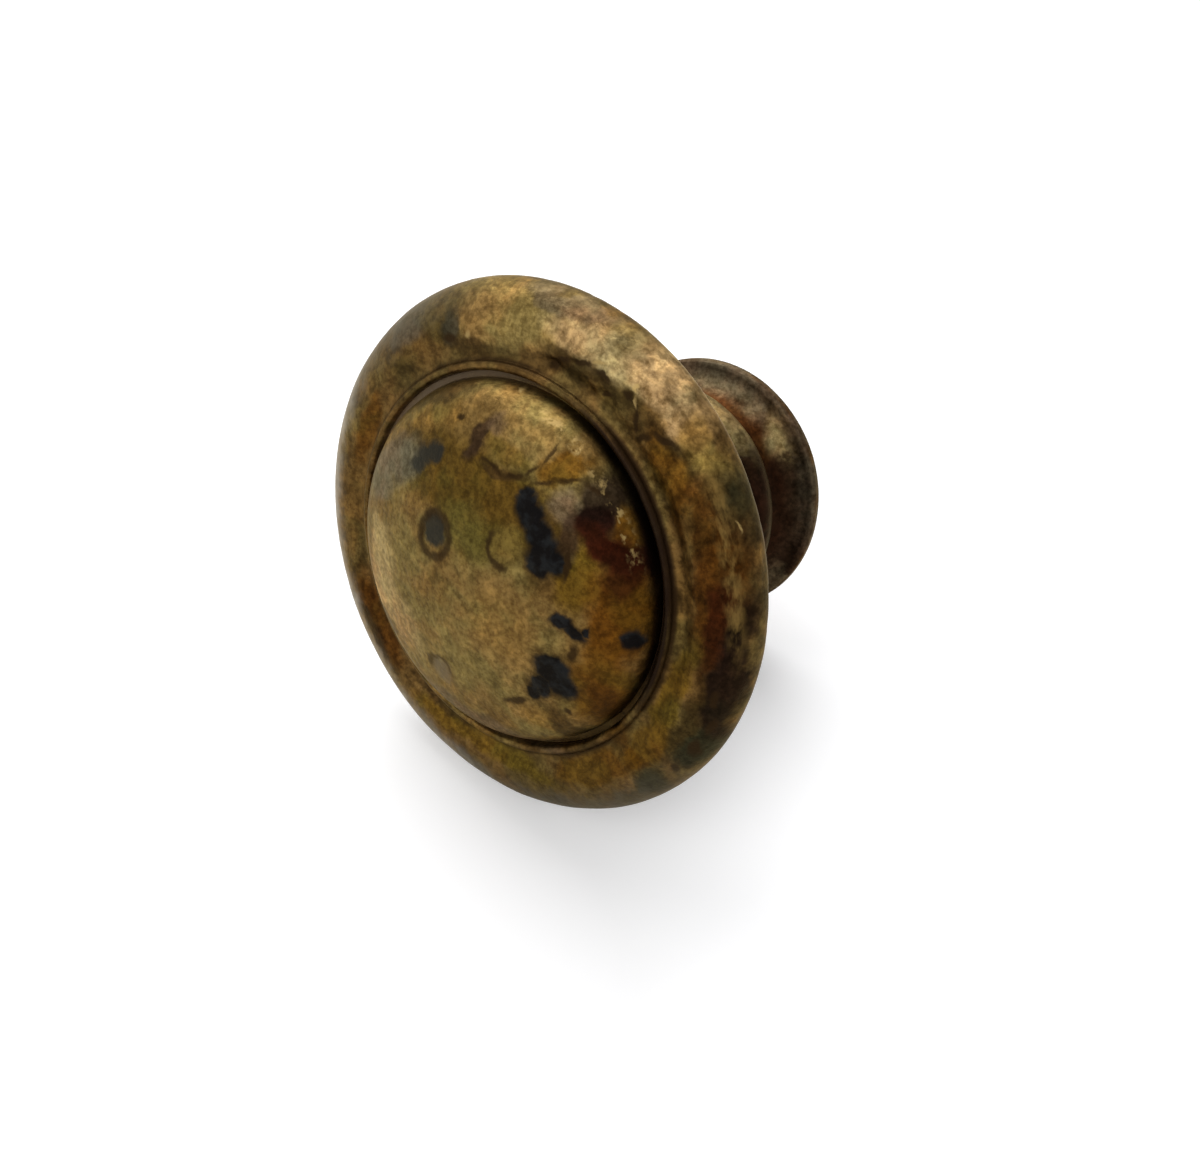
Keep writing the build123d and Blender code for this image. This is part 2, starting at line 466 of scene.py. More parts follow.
# One node tree, of a material or of the world
class Bench:
    def __init__(self, tree):
        self.nodes, self.links = tree.nodes, tree.links
        self.nodes.clear()

    # Adds a node of any type: its settings first, then the values or links of its sockets. Gives
    # back the named or numbered output, or nothing for an output node.
    def add(self, kind, settings=None, sockets=None, out=0):
        node = self.nodes.new(kind)
        for name, value in (settings or {}).items():
            setattr(node, name, value)
        for name, value in (sockets or {}).items():
            if isinstance(value, Signal):
                self.links.new(value.socket, node.inputs[name])
            else:
                node.inputs[name].default_value = value
        return None if out is None else Signal(self, node.outputs[out])

    def mix(self, first, second, factor, blend="MIX"):
        return self.add("ShaderNodeMix", {"data_type": "RGBA", "blend_type": blend},
                        {0: factor, 6: first, 7: second}, 2)

    def noise(self, place, size, detail=3.0, rough=0.55, distortion=0.0, out=0, seed=0.0):
        place = place if not seed else self.shift(place, (seed * 17.3, seed * 5.9, -seed * 11.7))
        return self.add("ShaderNodeTexNoise", {"noise_dimensions": "3D"},
                        {"Vector": place, "Scale": 1 / size, "Detail": detail,
                         "Roughness": rough, "Distortion": distortion}, out)

    def shift(self, place, by):
        return self.add("ShaderNodeVectorMath", {"operation": "ADD"}, {0: place, 1: by})

    # place moved about by up to `reach`, by a noise of the given size
    def stir(self, place, size, reach, detail=2.0):
        cloud = self.noise(place, size, detail, out="Color")
        centred = self.add("ShaderNodeVectorMath", {"operation": "SUBTRACT"},
                           {0: cloud, 1: (0.5, 0.5, 0.5)})
        return self.add("ShaderNodeVectorMath", {"operation": "MULTIPLY_ADD"},
                        {0: centred, 1: (2 * reach,) * 3, 2: place})

    def dot(self, place, direction):
        return self.add("ShaderNodeVectorMath", {"operation": "DOT_PRODUCT"},
                        {0: place, 1: direction}, "Value")

    # Distance from a spot's centre, 1 on its edge: an ellipse on the face, turned from x towards z.
    # The distance is sqrt(u^2 + v^2), u and v being measured along and across it in half lengths.
    def spot(self, place, x, z, width, height, turn=0):
        c, s = math.cos(math.radians(turn)), math.sin(math.radians(turn))
        u = self.dot(place, (2 * c / width, 0, 2 * s / width)) - 2 * (x * c + z * s) / width
        v = self.dot(place, (-2 * s / height, 0, 2 * c / height)) - 2 * (z * c - x * s) / height
        return (u * u + v * v).math("SQRT")

    # The least distance from a list of marks; each joins the sum as it is made, which keeps few
    # values open at a time
    def nearest(self, place, marks):
        lowest = self.spot(place, *marks[0])
        for mark in marks[1:]:
            lowest = lowest.least(self.spot(place, *mark))
        return lowest

    # Signed distance from the axis towards a direction on the face, in degrees from x towards z
    def towards(self, place, degrees):
        turn = math.radians(degrees)
        return self.dot(place, (math.cos(turn), 0, math.sin(turn)))

    # Place with x and z as a direction of the given length and y as the radius, so that a noise
    # over it streaks round the axis
    def wrapped(self, place, radius, length):
        outward = self.add("ShaderNodeVectorMath", {"operation": "MULTIPLY"},
                           {0: place, 1: (1, 0, 1)})
        outward = self.add("ShaderNodeVectorMath", {"operation": "SCALE"},
                           {0: outward, "Scale": length / radius})
        return self.add("ShaderNodeVectorMath", {"operation": "ADD"},
                        {0: outward, 1: self.add("ShaderNodeCombineXYZ", None, {"Y": radius})})

    def finish(self, surface, kind="ShaderNodeOutputMaterial"):
        self.add(kind, None, {"Surface": surface}, None)


# An empty material and the bench on which its nodes are made
def newMaterial(name):
    material = bpy.data.materials.new(name)
    material.use_nodes = True
    return material, Bench(material.node_tree)


# Colours are linear. Marks are in millimetres as seen from the front: x to the right and z up.
finishes = {
    "tan": (0.184, 0.121, 0.040, 1),
    "paleTan": (0.330, 0.220, 0.098, 1),
    # Painted highlights on the ring
    "creamHighlight": (0.370, 0.262, 0.130, 1),
    "sand": (0.265, 0.172, 0.058, 1),
    "olive": (0.086, 0.051, 0.008, 1),
    "oliveGreen": (0.110, 0.078, 0.017, 1),
    "gold": (0.114, 0.067, 0.008, 1),
    "ochre": (0.195, 0.119, 0.031, 1),
    "amber": (0.120, 0.056, 0.007, 1),
    "orange": (0.098, 0.038, 0.003, 1),
    "rust": (0.060, 0.023, 0.003, 1),
    "redBrown": (0.030, 0.006, 0.002, 1),
    "plum": (0.009, 0.003, 0.002, 1),
    "umber": (0.120, 0.072, 0.021, 1),
    "darkUmber": (0.045, 0.026, 0.008, 1),
    "line": (0.024, 0.012, 0.004, 1),
    "mauve": (0.120, 0.080, 0.045, 1),
    "mauveDark": (0.032, 0.018, 0.011, 1),
    "ashGrey": (0.120, 0.097, 0.066, 1),
    "slate": (0.030, 0.029, 0.024, 1),
    "blueSlate": (0.017, 0.019, 0.018, 1),
    "greenBlack": (0.024, 0.022, 0.011, 1),
    "black": (0.004, 0.004, 0.005, 1),
    "blueBlack": (0.013, 0.015, 0.017, 1),
    "grime": (0.012, 0.006, 0.004, 1),
    # Bare brass, and painted highlights on the dome's shoulder and the ring's crest
    "bareBrassAndHighlight": (0.370, 0.255, 0.095, 1),
    "crestPaintedHighlight": (0.260, 0.160, 0.045, 1),
    "ringUmber": (0.134, 0.081, 0.026, 1),
    # The rim's grey film: dust with a painted reflection, pale and dark
    "dustAndSheenPale": (0.370, 0.335, 0.275, 1),
    "dustAndSheenDark": (0.085, 0.073, 0.049, 1),
    "neckBrown": (0.060, 0.024, 0.006, 1),
    "neckRed": (0.050, 0.017, 0.004, 1),
    # Painted shade and a painted highlight behind the head, the foot's grey and a painted highlight
    # on it
    "neckPaintedShade": (0.012, 0.004, 0.002, 1),
    "neckPaintedHighlight": (0.230, 0.165, 0.070, 1),
    "footGrey": (0.135, 0.096, 0.056, 1),
    "footPaintedHighlight": (0.330, 0.240, 0.110, 1),
    "neckUmber": (0.080, 0.056, 0.036, 1),
}

# Soft stains, laid one over the other: finish, strength, centre x and z, width, height, turn
stains = {
    "oliveTop": ("olive", 0.95, -0.6, 5.2, 15, 5.4, 0),
    "oliveEdge": ("darkUmber", 0.8, -5.4, 8.9, 7.6, 1.3, 33),
    "tanTopLeft": ("ochre", 0.95, -4.9, 7.6, 4.8, 1.7, 30),
    "patchTop": ("tan", 0.95, 1.0, 8.9, 4.8, 3.6, 0),
    "patchGold": ("gold", 0.6, 0.7, 7.9, 3.6, 1.2, 0),
    "topEdge": ("tan", 0.8, -1.2, 9.9, 7, 0.9, 0),
    "amberTop": ("amber", 0.95, 3.9, 8.4, 2.2, 1.7, 30),
    "paleLeft": ("paleTan", 0.9, -7.7, -3.0, 3.8, 7.6, 12),
    "paleLow": ("paleTan", 0.55, -5.4, -5.4, 5.5, 3.4, -24),
    "brownLeft": ("umber", 0.8, -9.3, -1.4, 1.3, 7.0, 8),
    "tanMiddle": ("tan", 0.8, 2.0, -2.2, 8, 7.4, 0),
    "ochreMiddle": ("ochre", 0.45, 3.0, -1.4, 5, 4.0, 0),
    "greenMiddle": ("oliveGreen", 0.8, -0.6, 2.9, 4.6, 3.4, 0),
    "browned": ("umber", 0.75, -1.8, -1.2, 2.6, 2.4, 15),
    "halfInside": ("ochre", 0.55, 2.4, 3.4, 2.2, 2.4, 0),
    "greyBand": ("ashGrey", 0.9, -7.0, 4.2, 4.6, 2.8, 36),
    "greyTail": ("ashGrey", 0.85, -8.8, 2.2, 3.0, 3.2, 0),
    "brownTail": ("umber", 0.8, -7.6, 0.6, 2.4, 1.5, 10),
    "goldRight": ("gold", 0.95, 6.7, 3.4, 2.6, 4.2, 0),
    "orangeRight": ("orange", 0.95, 9.1, 1.8, 3.4, 8.0, 4),
    "amberRight": ("amber", 0.95, 8.9, -2.6, 3.0, 5.4, 0),
    "ochreLow": ("ochre", 0.9, 6.3, -6.2, 2.8, 1.9, 14),
    "shadeRight": ("rust", 0.85, 9.7, -4.3, 1.6, 6.5, 20),
    "shadeLowRight": ("darkUmber", 0.85, 8.3, -6.9, 1.6, 6.0, 44),
    "mauveLow": ("mauve", 0.85, 1.0, -9.4, 13, 1.7, 2),
    "smudgeLow": ("darkUmber", 0.75, -6.3, -7.0, 2.4, 1.2, -35),
    "smudgeLower": ("umber", 0.9, -4.9, -8.5, 1.8, 1.0, -20),
    "mauve": ("mauve", 0.95, 5.0, 6.6, 2.6, 2.2, 12),
    "mauveSide": ("mauveDark", 0.85, 5.4, 5.2, 1.5, 2.6, 8),
    "cornerBrown": ("mauveDark", 0.95, 6.6, 7.5, 3.4, 1.6, -38),
    "amberEdge": ("amber", 0.95, 8.1, 6.5, 2.6, 1.3, -50),
    "plumTop": ("plum", 1.0, 6.35, 6.5, 1.8, 2.3, 0),
    "redBrown": ("redBrown", 1.0, 7.8, 5.3, 4.2, 1.9, -22),
    "redLow": ("redBrown", 0.8, 8.7, 4.2, 1.7, 3.0, 0),
    "smearTop": ("mauveDark", 0.9, -1.5, 8.0, 1.1, 2.7, -22),
    "smearHigh": ("mauve", 0.7, -0.7, 8.9, 1.2, 1.4, 0),
    "patchFoot": ("darkUmber", 0.9, 0.3, 6.8, 3.0, 0.7, 4),
    "ringTopTan": ("sand", 0.95, -2.4, 13.5, 10, 3.4, 3),
    # A painted highlight on the ring's top
    "ringTopHighlight": ("creamHighlight", 0.75, 2.4, 14.2, 6.6, 2.0, -8),
    "ringTopEdge": ("mauve", 0.8, 0.0, 15.5, 6, 1.0, 0),
    "ringTopLeft": ("umber", 0.7, -8.8, 10.6, 6, 3.0, 44),
    # A painted grey reflection on the ring's upper left edge
    "ringLeftReflection": ("ashGrey", 0.8, -10.4, 10.6, 3.4, 1.8, 44),
    "ringSmudge": ("slate", 0.75, -6.8, 11.8, 1.3, 2.0, 0),
    "ringInnerTop": ("darkUmber", 0.7, -2.6, 11.9, 12, 0.9, 8),
    # A painted highlight on the ring's upper right
    "ringPale": ("creamHighlight", 0.85, 7.3, 13.4, 6.4, 1.9, -31),
    "ringPaleLow": ("ochre", 0.85, 9.8, 11.6, 3.4, 1.5, -46),
    "flaked": ("darkUmber", 0.85, 3.2, 12.6, 7.0, 1.9, -8),
    "flakedLight": ("umber", 0.8, 4.0, 12.1, 2.6, 0.9, -10),
    "brownPatch": ("darkUmber", 0.95, 7.9, 11.2, 3.6, 1.3, -12),
    "ringAmberTop": ("amber", 0.9, 9.0, 9.8, 4.6, 2.0, -42),
    "ringAmber": ("rust", 0.9, 11.3, 8.2, 3.2, 4.2, 32),
    "ringEdgeGreen": ("greenBlack", 0.85, 12.7, 9.3, 1.6, 3.8, 37),
    "ringRed": ("rust", 0.95, 13.3, 4.8, 2.8, 9.0, 10),
    "ringRedDeep": ("redBrown", 0.8, 13.9, 3.4, 1.6, 6.0, 8),
    "ringRightLight": ("umber", 0.95, 11.9, 3.6, 0.9, 10.2, 14),
    "ringRight": ("gold", 0.9, 12.6, -1.8, 1.5, 7.0, -8),
    "ringRightLow": ("amber", 0.9, 12.2, -5.2, 2.2, 4.0, -24),
    "ringRightDark": ("darkUmber", 0.9, 14.0, -2.4, 1.3, 7.0, -9),
    "ringRust": ("orange", 0.9, 11.5, -6.7, 1.7, 1.4, 0),
    "ringEdgeDark": ("grime", 0.95, 15.0, 0.6, 1.6, 11.0, 3),
    "ringGreen": ("greenBlack", 0.95, 14.6, -4.2, 1.3, 3.0, -14),
    "ringGreenLow": ("greenBlack", 0.85, 12.8, -7.9, 1.7, 2.2, -30),
    "ringLowRight": ("amber", 0.85, 9.2, -9.0, 6, 2.0, 44),
    "ringLow": ("gold", 0.85, 1.0, -12.2, 14, 1.6, 4),
    "ringLowBrown": ("darkUmber", 0.85, -2.4, -11.7, 5, 0.8, -8),
    "ringLowLeft": ("rust", 0.9, -9.2, -8.9, 8, 1.9, -45),
    "ringLowDark": ("line", 0.8, -9.4, -9.7, 4.4, 1.0, -46),
    "ringLeft": ("umber", 0.85, -12.4, 0.5, 1.8, 14, 0),
    "ringLeftWarm": ("orange", 0.7, -12.1, 3.6, 1.2, 5, -14),
}

# Black and blue-grey deposits with ragged edges: centre x and z, width, height, turn
deposits = [
    (2.75, 5.95, 1.4, 1.4, 0), (3.3, 5.5, 1.4, 1.6, 0), (3.95, 4.75, 1.6, 1.7, 30),
    (4.5, 3.8, 1.8, 2.2, 0), (5.2, 3.7, 1.3, 1.3, 20), (4.5, 3.1, 1.3, 1.1, 0),
    (6.5, 0.72, 1.2, 0.9, 0), (7.3, 0.4, 1.2, 0.8, -20), (7.9, 0.7, 0.5, 0.5, 0),
    (6.6, -2.5, 2.2, 1.8, 0), (7.2, -3.2, 1.9, 1.7, 0), (6.0, -3.8, 1.4, 1.6, 0),
    (5.6, -4.5, 0.8, 0.9, 0), (10.1, 1.0, 0.8, 1.1, 0), (6.3, -2.0, 1.6, 1.0, 20),
    (2.5, 6.5, 0.9, 0.7, 0),
]
brownBits = [
    (7.4, -0.9, 0.6, 1.2, 0), (4.5, -5.8, 1.9, 0.5, 38), (7.8, -4.9, 0.5, 0.4, 0),
    (-3.2, 8.4, 0.7, 0.4, 10), (0.5, 12.5, 0.9, 0.55, 45), (1.2, 13.0, 1.0, 0.35, 20),
    (2.5, 13.4, 1.4, 0.4, 8), (3.9, 13.1, 1.0, 0.35, -12), (5.5, 12.7, 0.8, 0.6, 0),
    (6.3, 11.7, 0.4, 1.3, 8), (7.0, 11.0, 1.1, 0.5, 30), (8.3, 11.4, 1.8, 0.5, -6),
    (4.2, 12.3, 0.9, 0.3, 10), (-6.7, 11.3, 0.9, 0.6, 20), (14.85, -0.6, 0.4, 1.2, 0),
    (15.1, -2.4, 0.4, 1.4, -8), (14.6, -4.1, 0.7, 1.2, 0), (13.9, -6.0, 0.5, 0.8, 20),
    (9.9, -5.1, 0.5, 0.9, -40), (5.9, 3.8, 0.35, 2.0, 6),
]
smears = [
    (-4.7, 5.7, 2.5, 1.2, 26), (-5.3, 4.9, 2.0, 1.1, 30), (-3.9, 5.9, 1.0, 1.0, 0),
]
# Thin dark lines where the lacquer has lifted: centre x and z, length, thickness, turn
liftedLines = [
    (-0.3, 6.95, 1.3, 0.24, -10), (1.4, 7.0, 1.5, 0.26, 20), (2.3, 7.7, 1.2, 0.20, 52),
    (2.9, 8.7, 1.3, 0.16, 76), (3.2, 7.35, 1.4, 0.24, 22), (4.5, 7.95, 1.6, 0.22, 18),
    (5.9, 8.0, 1.3, 0.22, -14),
]
# Bare light places: centre x and z, width, height, turn
brightBits = [
    (-5.4, 11.95, 0.5, 0.35, 50), (3.4, 13.7, 0.7, 0.35, 0), (5.8, 13.2, 0.5, 0.3, -40),
    (6.1, 12.6, 0.22, 0.7, 10), (12.9, 8.6, 0.12, 0.7, 34), (-0.9, 10.55, 0.5, 0.2, 0),
    (5.2, 9.75, 0.9, 0.4, -35),
]


# Sizes of the noises in millimetres; a stir also has how far it pushes what lies on it
noiseSizes = {
    "cloud": 2.6,
    "mottle": 0.9,
    "hue": 2.6,
    "grain": 0.34,
    "streak": 0.42,
    "streakLength": 5.0,      # of the circle that the streaks are laid along
    "stir": (2.2, 1.0),
    "ragged": (1.2, 0.30),
    "raggedFine": (0.36, 0.15),
}

# Where the finish changes, in millimetres: y from none to all of the head's front, the foot, its
# edge, the mounting face and the rim's back, and radii on the face
zones = {
    "front": (-18.9, -19.5),
    "foot": (-4.3, -4.0),
    "footEdge": (-1.1, -0.7),
    "mounting": (-0.75, -0.45),
    "rimBack": (-17.5, -20.5),
    "dome": (10.95, 10.8),
    "ring": (11.8, 12.6),
    # Radius of the painted highlight along the dome's shoulder
    "shoulder": 10.25,
    "groove": 10.95,
    "bead": 11.15,
    "beadOutside": 11.2,
    "crease": 11.72,
    # Radius of the painted highlight along the ring's crest
    "crestHighlight": 15.0,
    # Radii of the rim's grey film of dust and painted reflection
    "dustAndSheen": (13.5, 15.4),
}

# The metal under the patina, and how far the noises raise it in millimetres
brass = {
    "metallic": 0.92,
    # Less metallic under the rim's film of dust and painted reflection
    "dustSheenDulls": 0.4,
    "dirtDulls": 0.7,
    "roughness": 0.36,
    "mottleRoughens": 0.20,
    "depositRoughens": 0.14,
    "specularLevel": 0.3,
    "edgeTint": (1.0, 0.88, 0.66, 1),
    "grainHeight": 0.016,
    "mottleHeight": 0.060,
}


# The places, noises and masks that the layers of the finish share
def survey(b):
    coordinates = b.add("ShaderNodeTexCoord", out="Object")
    at = SimpleNamespace()
    at.place = b.add("ShaderNodeVectorMath", {"operation": "SCALE"},
                     {0: coordinates, "Scale": 1 / millimetre})
    at.part = b.add("ShaderNodeSeparateXYZ", None, {0: at.place}, "Y")
    at.radius = b.spot(at.place, 0, 0, 2, 2)
    at.front = at.part.step(*zones["front"])
    at.dome = at.radius.step(*zones["dome"]) * at.front
    at.cloud = b.noise(at.place, noiseSizes["cloud"], 5.0, 0.6)
    at.mottle = b.noise(at.place, noiseSizes["mottle"], 4.0, 0.58, 0.2, seed=2.0)
    at.hue = b.noise(at.place, noiseSizes["hue"], 3.0, 0.5, 0.3, seed=3.0)
    at.grain = b.noise(at.place, noiseSizes["grain"], 3.0, 0.65, seed=1.0)
    at.stirred = b.stir(at.place, *noiseSizes["stir"], 4.0)
    at.ragged = b.stir(b.stir(at.place, *noiseSizes["ragged"]), *noiseSizes["raggedFine"])
    return at


# A band round the axis: 1 within the narrow distance of a radius, 0 outside the wide one
def band(at, zone, wide, narrow):
    return (at.radius - zones[zone]).math("ABSOLUTE").step(wide, narrow)


# Behind the head, with light and shade painted by direction: brown, painted lighter above, a pale
# painted highlight towards the upper right and nearly black painted shade towards the right. The
# foot is red-brown inside its cove and grey-brown outside, with one pale olive painted highlight
# towards the upper right, painted shade towards the right and an edge painted lighter above.
def neckColours(b, at):
    # Facings towards the upper side and towards the right, by which light and shade are painted
    above = b.towards(at.place, 68) / at.radius + 0.5 * (at.cloud - 0.5)
    beside = b.towards(at.place, 12) / at.radius + 0.35 * (at.mottle - 0.5)
    neck = b.mix(finishes["neckBrown"], finishes["neckUmber"], above.step(0.4, 0.85))
    neck = b.mix(neck, finishes["neckPaintedHighlight"], above.step(0.8, 1.0) * 0.8)
    neck = b.mix(neck, finishes["neckPaintedShade"], beside.step(0.68, 0.85) * 0.95)
    outer = (at.radius + at.mottle).step(7.4, 8.4)
    foot = b.mix(finishes["neckRed"], finishes["footGrey"], outer)
    # A painted highlight on the foot's outer cove, towards the upper right
    paintedHighlightSpot = b.spot(at.place, 5.3, 6.4, 4.6, 2.3, -50)
    foot = b.mix(foot, finishes["footPaintedHighlight"], paintedHighlightSpot.step(1.3, 0.6))
    # Painted shade on the foot towards the right
    foot = b.mix(foot, finishes["neckPaintedShade"], beside.step(0.78, 0.90) * 0.9)
    neck = b.mix(neck, foot, at.part.step(*zones["foot"]))
    # The foot's edge, painted lighter where it faces up
    edge = at.part.step(*zones["footEdge"]) * above.step(0.2, 0.7)
    neck = b.mix(neck, finishes["neckUmber"], edge)
    mounting = at.part.step(*zones["mounting"])
    seat = b.mix(finishes["neckBrown"], finishes["neckUmber"], at.cloud.step(0.38, 0.62))
    return b.mix(neck, seat, mounting)


# The ground colours of the dome, the ring and the neck, with the stains over them
def groundColours(b, at):
    dome = b.mix(finishes["tan"], finishes["umber"], at.cloud.step(0.42, 0.66))
    ring = b.mix(finishes["ringUmber"], finishes["darkUmber"], at.cloud.step(0.44, 0.70))
    neck = neckColours(b, at)
    colour = b.mix(neck, b.mix(ring, dome, at.dome), at.front)
    for finish, strength, x, z, width, height, turn in stains.values():
        reach = b.spot(at.stirred, x, z, width, height, turn)
        colour = b.mix(colour, finishes[finish], reach.step(1.3, 0.6) * (at.front * strength))
    return colour


# Warmer and cooler, darker and lighter, and stronger on the worn upper right of the ring
def mottled(b, at, colour):
    warm = b.mix((0.92, 1.02, 0.96, 1), (1.06, 0.98, 0.90, 1), at.hue.step(0.38, 0.62))
    colour = b.mix(colour, warm, 1.0, "MULTIPLY")
    worn = b.spot(at.stirred, 9.5, 8.5, 15, 24, -22).step(1.1, 0.7) * (1 - at.dome)
    shade = b.mix((0.45, 0.41, 0.34, 1), (1.0, 1.0, 1.0, 1), at.mottle.step(0.30, 0.50))
    colour = b.mix(colour, shade, 0.55 + 0.4 * worn, "MULTIPLY")
    light = b.mix((1.0, 1.0, 1.0, 1), (1.6, 1.58, 1.52, 1), at.mottle.step(0.48, 0.70))
    colour = b.mix(colour, light, 0.6 + 0.4 * worn, "MULTIPLY")
    tooth = b.mix((0.70, 0.67, 0.62, 1), (1.28, 1.28, 1.28, 1), at.grain.step(0.34, 0.66))
    return b.mix(colour, tooth, 1.0, "MULTIPLY")


# Streaks that run round the ring: noise over the direction and the radius
def streaked(b, at, colour):
    wrapped = b.wrapped(at.place, at.radius, noiseSizes["streakLength"])
    at.around = b.noise(wrapped, noiseSizes["streak"], 3.0, 0.6, seed=4.0)
    streak = at.around.step(0.54, 0.38) * at.radius.step(*zones["ring"]) * at.front
    return b.mix(colour, (0.50, 0.45, 0.40, 1), streak * 0.5, "MULTIPLY")


# The blue-grey smear, the purple-grey drop mark with its darker upper edge, the ringed spot, the
# half ring and the thin lines
def dropMarks(b, at, colour):
    smear = b.nearest(at.stirred, smears)
    colour = b.mix(colour, finishes["blueSlate"], smear.step(1.3, 0.5) * at.front * 0.92)
    drop = b.spot(at.ragged, -1.15, -7.05, 1.9, 1.9)
    colour = b.mix(colour, finishes["ashGrey"], drop.step(1.3, 0.5) * at.front * 0.65)
    upperSide = b.towards(at.place, 100).step(-7.2, -6.5)
    edge = (drop - 1).math("ABSOLUTE").step(0.34, 0.05) * upperSide
    colour = b.mix(colour, finishes["darkUmber"], edge * at.front * 0.8)
    ringSpot = b.spot(at.ragged, -2.65, 1.65, 2.3, 2.6)
    ringMark = (ringSpot - 1).math("ABSOLUTE").step(0.36, 0.06)
    halfRing = b.spot(at.ragged, 2.3, 3.2, 2.3, 2.2)
    halfSide = b.spot(at.place, 1.5, 2.5, 2.6, 2.9).step(1.1, 0.8)
    halfMark = (halfRing - 1).math("ABSOLUTE").step(0.26, 0.04) * halfSide
    core = b.spot(at.ragged, -2.75, 1.95, 1.9, 2.0).step(1.2, 0.75)
    colour = b.mix(colour, finishes["blueSlate"], core * at.front * 0.92)
    lines = b.nearest(at.ragged, liftedLines)
    dark = ringMark.most(halfMark).most(lines.step(1.8, 0.3))
    return b.mix(colour, finishes["line"], dark * at.front * 0.85)


# Black deposits in a brown halo, and the smaller brown bits; also gives the deposits' mask
def deposited(b, at, colour):
    deposit = b.nearest(at.ragged, deposits)
    mask = deposit.step(1.3, 0.72) * at.front
    colour = b.mix(colour, finishes["line"], deposit.step(1.8, 0.9) * at.front * 0.55)
    blackened = b.mix(finishes["black"], finishes["blueBlack"], at.mottle.step(0.42, 0.62))
    colour = b.mix(colour, blackened, mask * 0.97)
    bits = b.nearest(at.ragged, brownBits).step(1.4, 0.5) * at.front
    return b.mix(colour, finishes["line"], bits * 0.9), mask


# Bare flecks, and painted highlights along the dome's shoulder and the ring's crest at the
# upper right
def bareFlecksAndHighlights(b, at, colour):
    bare = b.nearest(at.ragged, brightBits).step(1.3, 0.3)
    upperRight = b.towards(at.place, 56)
    # A painted highlight: a broken band along the dome's shoulder towards the upper right
    shoulder = band(at, "shoulder", 0.34, 0.08) * upperRight.step(8.6, 9.8)
    flecksAndHighlight = bare.most(shoulder * at.around.step(0.50, 0.62))
    colour = b.mix(colour, finishes["bareBrassAndHighlight"], flecksAndHighlight * at.front * 0.8)
    # A painted highlight along the ring's crest towards the upper right
    crestHighlight = band(at, "crestHighlight", 0.7, 0.1) * b.towards(at.place, 27).step(14.0, 14.9)
    return b.mix(colour, finishes["crestPaintedHighlight"], crestHighlight * at.around.step(0.34, 0.66) * 0.7)


# Dirt in the groove round the dome, grime over the bead on the right, and the dark crease outside
# the bead; also gives the mask of the groove's dirt
def grimy(b, at, colour):
    right = b.towards(at.place, 12)
    groove = band(at, "groove", 0.30, 0.12) * at.front
    overBead = band(at, "bead", 0.56, 0.34) * b.towards(at.place, 30).step(6, 9.5)
    widest = band(at, "beadOutside", 0.75, 0.48) * b.towards(at.place, 38).step(9.3, 10.9)
    filled = groove * right.step(5, -1)
    colour = b.mix(colour, finishes["mauve"], filled * 0.8)
    colour = b.mix(colour, finishes["darkUmber"], groove * right.step(0, 6) * 0.8)
    colour = b.mix(colour, finishes["grime"], overBead.most(widest) * at.front * 0.95)
    crease = band(at, "crease", 0.26, 0.04) * at.front
    return b.mix(colour, finishes["line"], crease * (0.35 + 0.5 * at.cloud.step(0.35, 0.6))), filled


# A grey film over the rim's roll-over at the left and below, patchy: some dust, with a painted
# reflection that is paler towards the lower left; also gives the film's mask
def dustAndSheenFilm(b, at, colour):
    lowerLeft = b.towards(at.place, 215)
    # Paler towards the lower left: a painted reflection on the rim
    dustAndSheen = b.mix(finishes["dustAndSheenDark"], finishes["dustAndSheenPale"], lowerLeft.step(5, 12))
    below = b.towards(at.place, 275).step(5, 13)
    patchy = at.radius + 2.4 * (at.cloud - 0.5) + 0.6 * (at.mottle - 0.5)
    dustSheenMask = patchy.step(*zones["dustAndSheen"]) * lowerLeft.step(-6, 4).most(below)
    dustSheenMask = dustSheenMask * at.part.step(*zones["rimBack"])
    dustSheenMask = dustSheenMask * (0.58 + 0.30 * at.mottle.step(0.4, 0.6))
    return b.mix(colour, dustAndSheen, dustSheenMask), dustSheenMask


def brassMaterial():
    material, b = newMaterial("brass")
    at = survey(b)
    colour = streaked(b, at, mottled(b, at, groundColours(b, at)))
    colour, depositMask = deposited(b, at, dropMarks(b, at, colour))
    colour, filled = grimy(b, at, bareFlecksAndHighlights(b, at, colour))
    colour, dustSheenMask = dustAndSheenFilm(b, at, colour)
    roughness = brass["roughness"] + brass["mottleRoughens"] * at.mottle
    roughness = roughness + depositMask * brass["depositRoughens"]
    metallic = brass["metallic"] - brass["dustSheenDulls"] * dustSheenMask - brass["dirtDulls"] * filled
    height = at.grain * brass["grainHeight"] + at.mottle * brass["mottleHeight"]
    bump = b.add("ShaderNodeBump", None, {
        "Height": height * millimetre, "Strength": 1.0, "Distance": 1.0}, "Normal")
    b.finish(b.add("ShaderNodeBsdfPrincipled", None, {
        "Base Color": colour, "Metallic": metallic, "Roughness": roughness,
        "Specular IOR Level": brass["specularLevel"], "Specular Tint": brass["edgeTint"],
        "Normal": bump}))
    return material


studio = {
    "tableTilt": 19.445,      # degrees: the knob lies on the edges of its head and foot
    "tableDrop": 8.525,       # millimetres from the middle of the mounting face to the table
    "tableSize": 1600.0,
    "tableColour": (0.86, 0.86, 0.87, 1),
    "tableGlow": 0.27,        # added to the table for the camera, as the photo's is overexposed
    "tableFade": (0.10, 0.25),  # metres from the knob over which it turns plain white
    "worldLight": 0.50,
    "mirroredLight": 0.80,
    "seenLight": 1.0,         # what the camera sees past the table, and the table's far part: white
}

